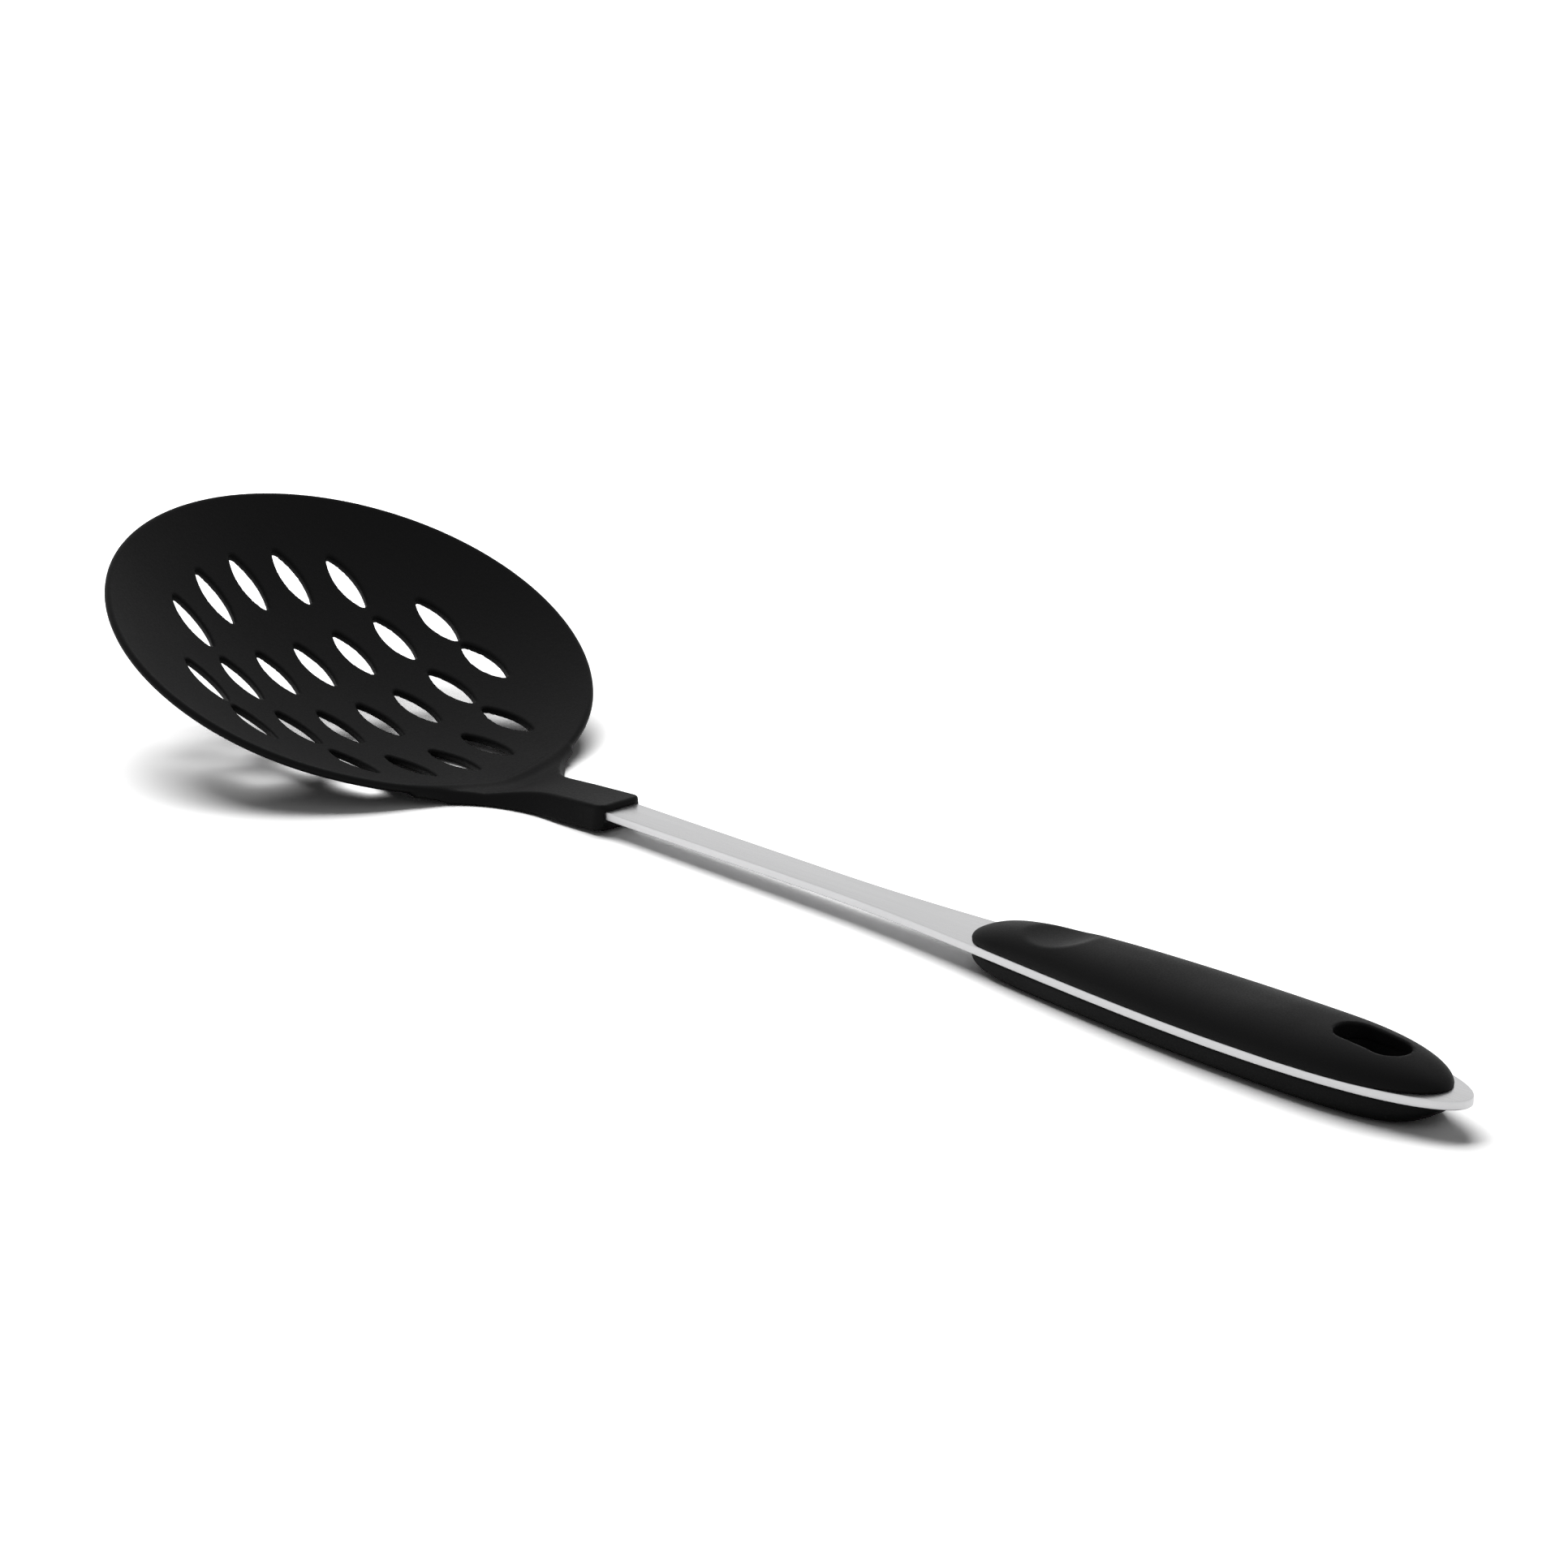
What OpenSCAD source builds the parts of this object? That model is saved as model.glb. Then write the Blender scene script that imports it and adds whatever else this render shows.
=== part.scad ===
// Skimmer: a moulded slotted dish on a flat steel shank, with a two-part soft grip round the shank's tang.
// It lies on a table along X, with the dish at -X and the grip at +X. Z = 0 is the table.

/* [Overall] */
// Length from the tip of the dish to the end of the tang
total_length = 355; // [300:1:430]
// Rise of the shank towards the grip, in degrees
shank_rise = 0.6; // [0:0.1:1.5]

/* [Head] */
// Diameter of the dish over its rim
head_d = 105; // [84:1:130]
// Depth of the dish inside, below the middle of its rim
head_depth = 12.1; // [9.5:0.1:15]
// Wall of the dish
head_wall = 1.8; // [1.4:0.1:2.6]
// Lean of the dish, with its tip raised, in degrees
head_tilt = 20.8; // [15:0.1:25]
// Height of the bowl's underside above the table, where the heel of the neck rests
bowl_lift = 0.2; // [0:0.1:1]

/* [Slots] */
// Length of a drain slot
slot_l = 14.4; // [10:0.1:17]
// Width of a drain slot at its middle
slot_w = 4.6; // [4:0.1:6]
// Width of a drain slot at its blunt tips
slot_tip_w = 1.4; // [0.8:0.1:2.4]
// Spacing of the slots across the dish
slot_pitch = 10.7; // [8.8:0.1:13]
// Distance from the rim to the arc of the two outer rows
slot_rim_gap = 18; // [15:0.1:22]
// Distance between the two inner rows
inner_row_gap = 21.7; // [18:0.1:27]
// Bow of the inner rows at their ends, towards the middle of the dish
inner_row_bow = 2.9; // [0:0.1:5]
// Lean of both inner rows' ends towards the tip
inner_row_lean = 1.7; // [0:0.1:3]
// Shift of the outer rows from the middle of the dish, towards the neck
outer_row_shift = 2.4; // [0:0.1:4]
// Shift of the inner rows from the middle of the dish, towards the neck
inner_row_shift = 3.4; // [0:0.1:5]

/* [Neck] */
// Length of the neck, from the rim to the mouth of the socket
neck_l = 33.9; // [30:0.1:44]
// Width of the socket
socket_w = 11.2; // [10.6:0.1:15]
// Radius where the neck runs into the rim
neck_fillet = 20; // [10:1:32]
// Wall of the socket above the strip
socket_roof = 1.3; // [0.8:0.1:2]
// Wall of the socket below the strip
socket_floor = 2.6; // [1:0.1:2.8]
// Length of strip held in the socket
socket_depth = 13; // [9:0.5:16]
// Diameter of the peg that locks the strip in the socket
lock_peg_d = 4; // [2.5:0.1:5]
// Height of the strip's underside above the table, at the mouth of the socket
mouth_h = 2.9; // [2.5:0.1:4]

/* [Shank] */
// Width of the strip
strip_w = 8.6; // [6:0.1:9.6]
// Thickness of the steel
strip_t = 1.8; // [1.4:0.1:2.4]
// Length over which the strip begins to widen, in front of the grip
flare_l = 43; // [20:1:60]
// Length of tang that shows behind the grip
lip_l = 5.2; // [2:0.1:8]

/* [Grip] */
// Length of the grip
grip_l = 117.5; // [95:0.5:145]
// Width of the grip at its widest
grip_w = 23.6; // [20:0.1:28]
// Distance from the grip's front end to its widest place
grip_widest = 74; // [60:1:80]
// Height of the upper half above the tang
crown_h = 6; // [5:0.1:9]
// Depth by which the belly is flattened to lie on the table
belly_flat = 0.5; // [0.2:0.1:1]
// Depth of the thumb rest
thumb_depth = 0.9; // [0:0.1:1.2]
// Distance from the grip's front end to the middle of the thumb rest
thumb_place = 19; // [18:1:40]
// Thickness of the hard plate inside each half
core_h = 2.4; // [1.6:0.1:2.6]
// Width of soft skin beside each plate
skin_side = 3; // [2:0.1:4]
// Diameter of the pegs through the tang
peg_d = 5; // [3:0.1:7]
// Distance from the grip's front end to the first peg
peg_place = 30; // [26:1:36]
// Distance between the two pegs
peg_spacing = 36; // [25:1:44]
// Distance from the grip's rear end to the middle of the hanging slot
hang_place = 17.8; // [17:0.1:22]
// Length of the hanging slot
hang_l = 17.5; // [14:0.5:21]
// Width of the hanging slot
hang_w = 9.6; // [7:0.1:10.4]
// Wall of the collar that lines the hanging slot
collar_wall = 1.2; // [0.8:0.1:1.6]
// Gap round the pegs and the collar
peg_gap = 0.1; // [0.05:0.05:0.3]

/* [Hidden] */
$fn = 96;
nylon = "#1d1d1e";
steel = "silver";
hard_black = "#3a3a3c";
soft_black = "#232324";
eps = 0.01;
cut_spare = 1;

// Dish: a spherical wall that ends in a round rim, worked out from its depth and diameter.
rim_r = (head_d - head_wall) / 2;
middle_sag = head_depth + head_wall / 2;
middle_r = (rim_r * rim_r + middle_sag * middle_sag) / (2 * middle_sag);
inner_r = middle_r - head_wall / 2;
outer_r = middle_r + head_wall / 2;
ball_h = middle_r - middle_sag;
rim_angle = asin(rim_r / middle_r);
ball_facets = 240;
head_z = outer_r - ball_h * cos(head_tilt) + bowl_lift;
head_x = -total_length / 2 + rim_r * cos(head_tilt) + head_wall / 2;

// A point of the dish, at u towards the neck and n above the rim's plane, as [x, z].
function on_head(u, n) = [
    head_x + u * cos(head_tilt) + n * sin(head_tilt),
    head_z - u * sin(head_tilt) + n * cos(head_tilt)
];

// Slots: the outer rows lie on an arc about the middle of the dish, the inner rows bow towards it.
slot_ring_r = head_d / 2 - slot_rim_gap;
outer_row_angle = 40;
outer_side_slots = floor(slot_ring_r * sin(outer_row_angle) / slot_pitch);
inner_row_reach = sqrt(slot_ring_r * slot_ring_r - inner_row_gap * inner_row_gap / 4);
inner_side_slots = floor(inner_row_reach / slot_pitch);
slot_cut_h = head_depth + 2 * head_wall;

// Neck: its top runs from inside the rim up to the roof of the socket, and its heel lies on the table.
mouth_x = head_x + head_d / 2 * cos(head_tilt) + neck_l;
roof_z = mouth_h + strip_t + socket_roof;
neck_floor_z = mouth_h - socket_floor;
rim_middle = on_head(rim_r, 0);
web_half = head_wall / 4;
neck_root = rim_middle + [0, web_half];
heel_start = rim_middle[0] + (rim_middle[1] - web_half) / tan(head_tilt);
heel_l = 8;
neck_dip = 1;
roof_drop = 0.7;
neck_lead = 0.36;
roof_lead = 0.6;
roof_lag = 1;
roof_start_x = mouth_x - socket_depth + roof_lag;
neck_steps = 16;
neck_overlap = 1.5;
socket_corner_r = 2;
// The rim seen from above is an ellipse, and this circle follows its end at the neck.
rim_plan_r = head_d / 2 / cos(head_tilt);
rim_plan_x = head_x + head_d / 2 * cos(head_tilt) - rim_plan_r;
fillet_y = socket_w / 2 + neck_fillet;
fillet_x = rim_plan_x + sqrt(pow(rim_plan_r + neck_fillet, 2) - fillet_y * fillet_y);
flare_share = rim_plan_r / (rim_plan_r + neck_fillet);
flare_y = fillet_y * flare_share;
flare_x = rim_plan_x + (fillet_x - rim_plan_x) * flare_share;

// Shank, along its own length from the mouth of the socket, with its underside at 0.
steel_l = (total_length / 2 - mouth_x) / cos(shank_rise);
grip_end = steel_l - lip_l;
grip_start = grip_end - grip_l;
widest_x = grip_start + grip_widest;
strip_run = 2;
flare_start = max(strip_run, grip_start - flare_l);
outline_steps = 28;
tang_power = 2.4;
grip_tail_power = 3.2;
lock_peg_x = -socket_depth / 2;

// Grip: noses, crown and thumb rest.
nose_l = 11;
nose_power = 3;
crown_front_l = 57;
crown_front_power = 3;
crown_rear_l = 30;
crown_power = 2.2;
belly_front_l = 20;
belly_rear_l = 14;
crown_section_power = 2.4;
belly_section_power = 4;
grip_stations = 30;
section_steps = 16;
first_angle = 4;
thumb_x = grip_start + thumb_place;
thumb_rx = 10;
thumb_ry = 7;
core_front = 18;
core_rear = 5.5;
core_start = grip_start + core_front;
core_end = grip_end - core_rear;
peg_places = [grip_start + peg_place, grip_start + peg_place + peg_spacing];
peg_bite = 1.6;
socket_spare = 0.2;
hang_x = grip_end - hang_place;
cut_reach = 40;

// A smooth step from 0 to 1.
function ease(t) = let (s = min(max(t, 0), 1)) s * s * (3 - 2 * s);

// A rounded shoulder from 0 at t = 1 to 1 at t = 0.
function shoulder(t, power) = sqrt(max(0, 1 - pow(min(max(t, 0), 1), power)));

// Half the width at x of the steel or the grip, whose round rear end lies at tail.
function plan_half(x, tail, power) = x < widest_x
    ? strip_w / 2 + (grip_w - strip_w) / 2 * ease((x - flare_start) / (widest_x - flare_start))
    : grip_w / 2 * shoulder((x - widest_x) / (tail - widest_x), power);

function steel_half(x) = plan_half(x, steel_l, tang_power);

// Half the width of the grip at x, drawn in at the nose.
function grip_half(x) = plan_half(x, grip_end, grip_tail_power)
    * shoulder((grip_start + nose_l - x) / nose_l, nose_power);

// Height of the crown along the middle of the upper half.
function crown(x) = crown_h
    * shoulder((grip_start + crown_front_l - x) / crown_front_l, crown_front_power)
    * shoulder((x - grip_end + crown_rear_l) / crown_rear_l, crown_power);

// Drop of the thumb rest at a point of the upper half.
function thumb(x, y) =
    let (q = pow((x - thumb_x) / thumb_rx, 2) + pow(y / thumb_ry, 2))
    q < 1 ? thumb_depth * (1 - q) * (1 - q) : 0;

// Depth from the underside of the tang to the table.
function table_depth(x) = mouth_h / cos(shank_rise) + x * tan(shank_rise);

// Depth of the lower half along its middle, before its belly is flattened.
function belly(x) = (table_depth(x) + belly_flat)
    * shoulder((grip_start + belly_front_l - x) / belly_front_l, crown_power)
    * shoulder((x - grip_end + belly_rear_l) / belly_rear_l, crown_power);

// A round power curve, for the section of the grip.
function round_power(v, power) = sign(v) * pow(abs(v), 2 / power);

// Stations along the grip, closer together at its ends.
function station(i) = grip_start
    + grip_l * (1 - cos(first_angle + (180 - 2 * first_angle) * i / grip_stations)) / 2;

// Section points of the upper half at x, from -Y over the crown to +Y.
function upper_section(x) = [
    for (j = [0 : section_steps])
        let (
            a = 180 - 180 * j / section_steps,
            y = grip_half(x) * round_power(cos(a), crown_section_power),
            rise = crown(x) * round_power(sin(a), crown_section_power)
        )
        [x, y, strip_t + max(0, rise - (sin(a) > eps ? thumb(x, y) : 0))]
];

// Section points of the lower half at x, from +Y under the belly to -Y.
function lower_section(x) = [
    for (j = [0 : section_steps])
        let (a = 180 * j / section_steps, y = grip_half(x) * round_power(cos(a), belly_section_power))
        [x, y, -min(belly(x) * round_power(sin(a), belly_section_power), table_depth(x))]
];

// Points on a cubic curve through four control points.
function curve_point(p, t) = pow(1 - t, 3) * p[0] + 3 * pow(1 - t, 2) * t * p[1]
    + 3 * (1 - t) * t * t * p[2] + pow(t, 3) * p[3];

// Sets a shape drawn along the shank into its place, at the shank's rise.
module along_shank() {
    translate([mouth_x, 0, mouth_h]) rotate([0, -shank_rise, 0]) children();
}

// Sets a shape drawn about the middle of the rim into its place, at the dish's lean.
module on_dish() {
    translate([head_x, 0, head_z]) rotate([0, head_tilt, 0]) children();
}

// Outline of a drain slot: two long arcs, cut short by a circle about its middle.
module slot_outline() {
    sag = (slot_w - slot_tip_w) / 2;
    arc_r = (slot_l * slot_l / 4 + sag * sag) / (2 * sag);
    intersection() {
        circle(slot_l / 2);
        translate([0, arc_r - slot_w / 2]) circle(arc_r);
        translate([0, slot_w / 2 - arc_r]) circle(arc_r);
    }
}

module slot_cut(u, v) {
    translate([u, v, -slot_cut_h]) linear_extrude(slot_cut_h) slot_outline();
}

// The drain slots, in two outer rows and two inner rows.
module slot_cuts() {
    for (side = [-1, 1]) {
        for (k = [-outer_side_slots : outer_side_slots]) {
            v = k * slot_pitch;
            slot_cut(outer_row_shift + side * sqrt(slot_ring_r * slot_ring_r - v * v), v);
        }
        for (k = [-inner_side_slots : inner_side_slots]) {
            bow = (side * inner_row_bow + inner_row_lean) * pow(k / inner_side_slots, 2);
            slot_cut(inner_row_shift + side * inner_row_gap / 2 - bow, k * slot_pitch);
        }
    }
}

// Wall of the dish: the part of a hollow ball inside a cone, closed by a round rim.
module dish_wall() {
    cone_h = 2 * outer_r;
    intersection() {
        translate([0, 0, ball_h]) rotate([90, 0, 0]) difference() {
            sphere(outer_r, $fn = ball_facets);
            sphere(inner_r, $fn = ball_facets);
        }
        translate([0, 0, ball_h - cone_h]) cylinder(h = cone_h, r1 = cone_h * tan(rim_angle), r2 = 0);
    }
    rotate([0, 0, 90]) rotate_extrude() translate([rim_r, 0]) circle(head_wall / 2);
}

// The neck from above: a tongue that widens into the rim.
module neck_plan() {
    difference() {
        union() {
            translate([flare_x - neck_overlap, -flare_y])
                square([fillet_x - flare_x + neck_overlap, 2 * flare_y]);
            translate([flare_x, -socket_w / 2]) square([mouth_x - socket_corner_r - flare_x, socket_w]);
            for (side = [-1, 1])
                translate([mouth_x - socket_corner_r, side * (socket_w / 2 - socket_corner_r)])
                    circle(socket_corner_r);
            translate([mouth_x - socket_corner_r, socket_corner_r - socket_w / 2])
                square([socket_corner_r, socket_w - 2 * socket_corner_r]);
        }
        for (side = [-1, 1]) translate([fillet_x, side * fillet_y]) circle(neck_fillet);
        translate([rim_plan_x, 0]) circle(rim_plan_r - neck_overlap);
    }
}

// The neck from the side: a web in the rim's plane, a heel on the table, and a top that rises to the roof.
module neck_side() {
    finish = [roof_start_x, roof_z - roof_drop];
    run = finish[0] - neck_root[0];
    bends = [
        neck_root,
        neck_root + [neck_lead * run, -neck_dip],
        finish - [roof_lead * run, roof_drop],
        finish
    ];
    back_x = flare_x - 2 * neck_overlap;
    back_z = rim_middle[1] + (rim_middle[0] - back_x) * tan(head_tilt);
    polygon(concat(
        [[mouth_x + eps, neck_floor_z], [mouth_x + eps, roof_z]],
        [for (i = [neck_steps : -1 : 0]) curve_point(bends, i / neck_steps)],
        [[back_x, back_z + web_half], [back_x, back_z - web_half], [heel_start, 0], [heel_start + heel_l, 0]]
    ));
}

module neck() {
    intersection() {
        linear_extrude(2 * roof_z) neck_plan();
        translate([0, flare_y + cut_spare, 0])
            rotate([90, 0, 0]) linear_extrude(2 * (flare_y + cut_spare)) neck_side();
    }
}

// The end of the strip that the socket is moulded round.
module strip_in_socket() {
    along_shank() difference() {
        translate([-socket_depth, -strip_w / 2, 0]) cube([socket_depth + cut_reach, strip_w, strip_t]);
        translate([lock_peg_x, 0, -strip_t]) cylinder(d = lock_peg_d, h = 3 * strip_t);
    }
}

module skimmer_head() {
    color(nylon) difference() {
        union() {
            on_dish() difference() {
                dish_wall();
                slot_cuts();
            }
            neck();
        }
        strip_in_socket();
    }
}

// Outline of the steel from above, along the shank.
module steel_outline() {
    flare = [
        for (i = [0 : outline_steps])
            let (x = flare_start + (widest_x - flare_start) * i / outline_steps)
            [x, steel_half(x)]
    ];
    tail = [
        for (i = [1 : outline_steps])
            let (x = widest_x + (steel_l - widest_x) * sin(90 * i / outline_steps))
            [x, steel_half(x)]
    ];
    side = concat([[-socket_depth, strip_w / 2]], flare, tail);
    last = len(side) - 1;
    polygon(concat(side, [for (i = [last - 1 : -1 : 0]) [side[i][0], -side[i][1]]]));
}

// A slot with round ends, centred on x.
module round_slot(length, width) {
    run = length - width;
    square([run, width], center = true);
    for (side = [-1, 1]) translate([side * run / 2, 0]) circle(d = width);
}

module hang_cut(grow) {
    translate([hang_x, 0, -cut_reach])
        linear_extrude(2 * cut_reach) round_slot(hang_l + 2 * grow, hang_w + 2 * grow);
}

module steel_shank() {
    color(steel) along_shank() difference() {
        linear_extrude(strip_t) steel_outline();
        translate([lock_peg_x, 0, -strip_t]) cylinder(d = lock_peg_d, h = 3 * strip_t);
        for (x = peg_places) translate([x, 0, -strip_t]) cylinder(d = peg_d + 2 * peg_gap, h = 3 * strip_t);
        hang_cut(collar_wall + peg_gap);
    }
}

// Outline of the hard plates from above, along the shank.
module core_outline() {
    side = [
        for (i = [0 : outline_steps])
            let (x = core_start + (core_end - core_start) * i / outline_steps)
            [x, grip_half(x) - skin_side]
    ];
    polygon(concat(side, [for (i = [outline_steps : -1 : 0]) [side[i][0], -side[i][1]]]));
}

module upper_grip_core() {
    color(hard_black) along_shank() difference() {
        translate([0, 0, strip_t]) linear_extrude(core_h) core_outline();
        for (x = peg_places)
            translate([x, 0, strip_t - cut_spare])
                cylinder(d = peg_d + 2 * peg_gap, h = cut_spare + peg_bite + socket_spare);
        hang_cut(0);
    }
}

module lower_grip_core() {
    color(hard_black) along_shank() difference() {
        union() {
            translate([0, 0, -core_h]) linear_extrude(core_h) core_outline();
            for (x = peg_places)
                translate([x, 0, -core_h]) cylinder(d = peg_d, h = core_h + strip_t + peg_bite);
            translate([hang_x, 0, -core_h]) linear_extrude(core_h + strip_t)
                round_slot(hang_l + 2 * collar_wall, hang_w + 2 * collar_wall);
        }
        hang_cut(0);
    }
}

// A closed solid through rows of points. Each row is a section that starts and ends on the flat side.
module section_solid(rows) {
    points = [for (row = rows) for (point = row) point];
    per_row = len(rows[0]);
    last_row = len(rows) - 1;
    quads = [
        for (i = [0 : last_row - 1])
            for (j = [0 : per_row - 1])
                let (a = i * per_row + j, b = i * per_row + (j + 1) % per_row)
                [a, b, b + per_row, a + per_row]
    ];
    sides = [for (q = quads) for (half = [[q[0], q[1], q[2]], [q[0], q[2], q[3]]]) half];
    front = [for (j = [1 : per_row - 2]) [0, j + 1, j]];
    end = last_row * per_row;
    rear = [for (j = [1 : per_row - 2]) [end, end + j, end + j + 1]];
    polyhedron(points, concat(sides, front, rear));
}

module upper_grip_skin() {
    rows = [for (i = [0 : grip_stations]) upper_section(station(i))];
    color(soft_black) along_shank() difference() {
        section_solid(rows);
        translate([0, 0, strip_t - cut_spare]) linear_extrude(cut_spare + core_h) core_outline();
        hang_cut(0);
    }
}

module lower_grip_skin() {
    rows = [for (i = [0 : grip_stations]) lower_section(station(i))];
    color(soft_black) along_shank() difference() {
        section_solid(rows);
        translate([0, 0, -core_h]) linear_extrude(cut_spare + core_h) core_outline();
        hang_cut(0);
    }
}

skimmer_head();
steel_shank();
upper_grip_core();
lower_grip_core();
upper_grip_skin();
lower_grip_skin();
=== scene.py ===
"""Looks of a kitchen skimmer: a slotted nylon dish, a brushed steel shank and a soft two-part grip."""

import itertools
import math

import bmesh
import bpy
import numpy as np
from mathutils import Matrix, Vector


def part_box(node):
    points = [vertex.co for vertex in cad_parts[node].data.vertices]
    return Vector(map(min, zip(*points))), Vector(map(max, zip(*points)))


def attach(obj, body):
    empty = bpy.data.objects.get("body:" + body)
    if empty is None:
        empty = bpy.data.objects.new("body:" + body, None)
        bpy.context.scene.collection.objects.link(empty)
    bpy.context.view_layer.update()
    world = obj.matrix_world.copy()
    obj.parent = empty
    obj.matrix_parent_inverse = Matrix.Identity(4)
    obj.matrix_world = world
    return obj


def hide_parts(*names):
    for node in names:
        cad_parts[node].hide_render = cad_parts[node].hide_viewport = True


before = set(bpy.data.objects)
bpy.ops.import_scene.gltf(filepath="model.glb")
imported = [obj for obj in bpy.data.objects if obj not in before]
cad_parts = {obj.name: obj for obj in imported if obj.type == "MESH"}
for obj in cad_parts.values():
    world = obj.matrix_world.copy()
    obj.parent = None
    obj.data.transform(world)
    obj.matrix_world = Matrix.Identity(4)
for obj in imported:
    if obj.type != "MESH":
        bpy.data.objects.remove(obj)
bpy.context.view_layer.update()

# Sizes are in millimetres, and the meshes are scaled to metres when they are made.
MM = 0.001


def node_box(node):
    """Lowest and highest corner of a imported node, in millimetres."""
    low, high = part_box(node)
    return np.array(low) / MM, np.array(high) / MM


head_low, head_high = node_box("skimmer_head")
shank_high = node_box("steel_shank")[1]

# Dish: a spherical wall with a round rim, leaning with its tip raised.
HEAD_D = 105.0
HEAD_DEPTH = 12.1
HEAD_WALL = 1.8
HEAD_TILT = math.radians(20.8)
BOWL_LIFT = 0.2
RIM_DIP = 0.8
RIM_DIP_START = 37.0
RIM_DIP_POWER = 1.8
NECK_DIP = 0.8
NECK_DIP_START = 43.0
NECK_DIP_W = 9.0
rim_r = (HEAD_D - HEAD_WALL) / 2
middle_sag = HEAD_DEPTH + HEAD_WALL / 2
middle_r = (rim_r**2 + middle_sag**2) / (2 * middle_sag)
ball_h = middle_r - middle_sag
head_x = head_low[0] + rim_r * math.cos(HEAD_TILT) + HEAD_WALL / 2
head_z = middle_r + HEAD_WALL / 2 - ball_h * math.cos(HEAD_TILT) + BOWL_LIFT

# Drain slots: two outer rows on an arc, two inner rows whose ends bend towards the middle of the dish.
SLOT_L = 14.4
SLOT_W = 4.6
SLOT_TIP_R = 0.8
SLOT_EDGE_R = 0.45
SLOT_PITCH = 10.7
SLOT_RIM_GAP = 18.0
OUTER_SIDE_SLOTS = 2
OUTER_SHIFT = 2.4
INNER_SIDE_SLOTS = 3
INNER_SHIFT = 3.4
INNER_GAP = 21.7
INNER_BOW = 2.9
INNER_LEAN = 1.7
slot_ring_r = HEAD_D / 2 - SLOT_RIM_GAP

# Neck and socket. Heel, web and toe are placed by their distance from the mouth of the socket.
SOCKET_W = 11.2
SOCKET_ROOF = 1.4
SOCKET_SLOPE = 0.07
SOCKET_FLOOR = 2.2
SOCKET_CORNER_R = 2.4
SOCKET_DEPTH = 13.0
SOCKET_EDGE_R = 0.5
SOCKET_END_R = 1.1
NECK_FILLET = 25.0
NECK_FOOT = 1.9
SOCKET_FOOT = 0.9
NECK_OVERLAP = 1.2
NECK_BLEND = 2.2
HEEL_FLOOR = 0.05
HEEL_END = 22.6
WEB_START = 34.1
WEB_SLOPE = 0.45
WEB_SINK = 1.3
WEB_SINK_POWER = 4
TOE_START = 30.1
TOE_END = 12.6
TOE_POWER = 2.6
LOCK_PEG_D = 4.0
mouth_x = head_high[0]
rim_plan_r = HEAD_D / 2 / math.cos(HEAD_TILT)
fillet_y = SOCKET_W / 2 + NECK_FILLET
web_half = fillet_y * rim_plan_r / (rim_plan_r + NECK_FILLET)

# Shank: x runs along it from the mouth of the socket, with its underside at 0.
SHANK_RISE = math.radians(0.6)
MOUTH_H = 2.9
STRIP_W = 8.6
STRIP_T = 1.8
STEEL_EDGE_R = 0.22
LIP_L = 5.2
FLARE_L = 43.0
TANG_POWER = 2.4
steel_l = (shank_high[0] - mouth_x) / math.cos(SHANK_RISE)

# Grip.
GRIP_L = 117.5
GRIP_W = 23.6
GRIP_WIDEST = 74.0
GRIP_TAIL_POWER = 3.2
NOSE_L = 11.0
NOSE_POWER = 3.0
CROWN_H = 6.0
CROWN_FRONT_L = 57.0
CROWN_FRONT_POWER = 3.3
CROWN_REAR_L = 30.0
CROWN_POWER = 2.2
BELLY_FLAT = 0.5
BELLY_FRONT_L = 20.0
BELLY_REAR_L = 14.0
CROWN_SECTION_POWER = 2.4
BELLY_SECTION_POWER = 4.0
GRIP_EDGE_R = 0.3
CORE_H = 2.4
CORE_FRONT = 18.0
CORE_REAR = 5.5
SKIN_SIDE = 3.0
HANG_L = 17.5
HANG_W = 9.6
HANG_PLACE = 17.8
MOUTH_IN = 0.9
MOUTH_BACK = 0.5
MOUTH_FAR = 0.2
HANG_LIP_R = 0.35
COLLAR_WALL = 1.2
PEG_GAP = 0.1
PEG_D = 5.0
PEG_PLACE = 30.0
PEG_SPACING = 36.0
THUMB_PLACE = 19.7
THUMB_DEPTH = 1.3
THUMB_LONG_R = 25.0
THUMB_CROSS_R = 120.0
THUMB_EDGE_R = 0.3
THUMB_SLOPE = 0.02
THUMB_REACH = 40.0
grip_end = steel_l - LIP_L
grip_start = grip_end - GRIP_L
widest_x = grip_start + GRIP_WIDEST
flare_start = grip_start - FLARE_L
hang_x = grip_end - HANG_PLACE
core_start = grip_start + CORE_FRONT
core_end = grip_end - CORE_REAR

# Meshes: spacing of the samples, room round a piece, small gaps, and a distance beyond any other.
HEAD_CELL = 0.45
GRIP_CELL = 0.4
SPARE = 1.0
FIT_GAP = 0.03
SKIN_INSET = 0.01
FAR_AWAY = np.float32(1000)

# How a sampled surface is closed and evened out, in parts of the spacing and in rounds.
JOIN_PARTS = 50
SETTLE_PARTS = 4
SETTLE_ROUNDS = 3
SETTLE_PULLS = 2
EVEN_SHARE = 0.5
LONGEST_PULL = 4
LEAST_STEEPNESS = 0.05
TINY = 1e-9

# How the grip's section is turned into a distance.
SECTION_STEP = 0.05
SECTION_LEAST = 0.02
SECTION_LEAST_SLOPE = 0.03

# Steps along the outlines and edges of the steel.
STRIP_STEPS = 24
FLARE_STEPS = 72
HOLE_STEPS = 32
SLOT_END_STEPS = 24
EDGE_STEPS = 4
SHARP_ANGLE = math.radians(35)

# Camera, from the photograph's own perspective.
PHOTO_PX = 1932
FOCAL_PX = 8900
SENSOR_W = 36.0
CAMERA_AZIMUTH = math.radians(44.81)
CAMERA_ELEVATION = math.radians(18.69)
CAMERA_ROLL = math.radians(1.53)
CAMERA_AT = (950.09, -956.03, 477.52)


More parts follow.
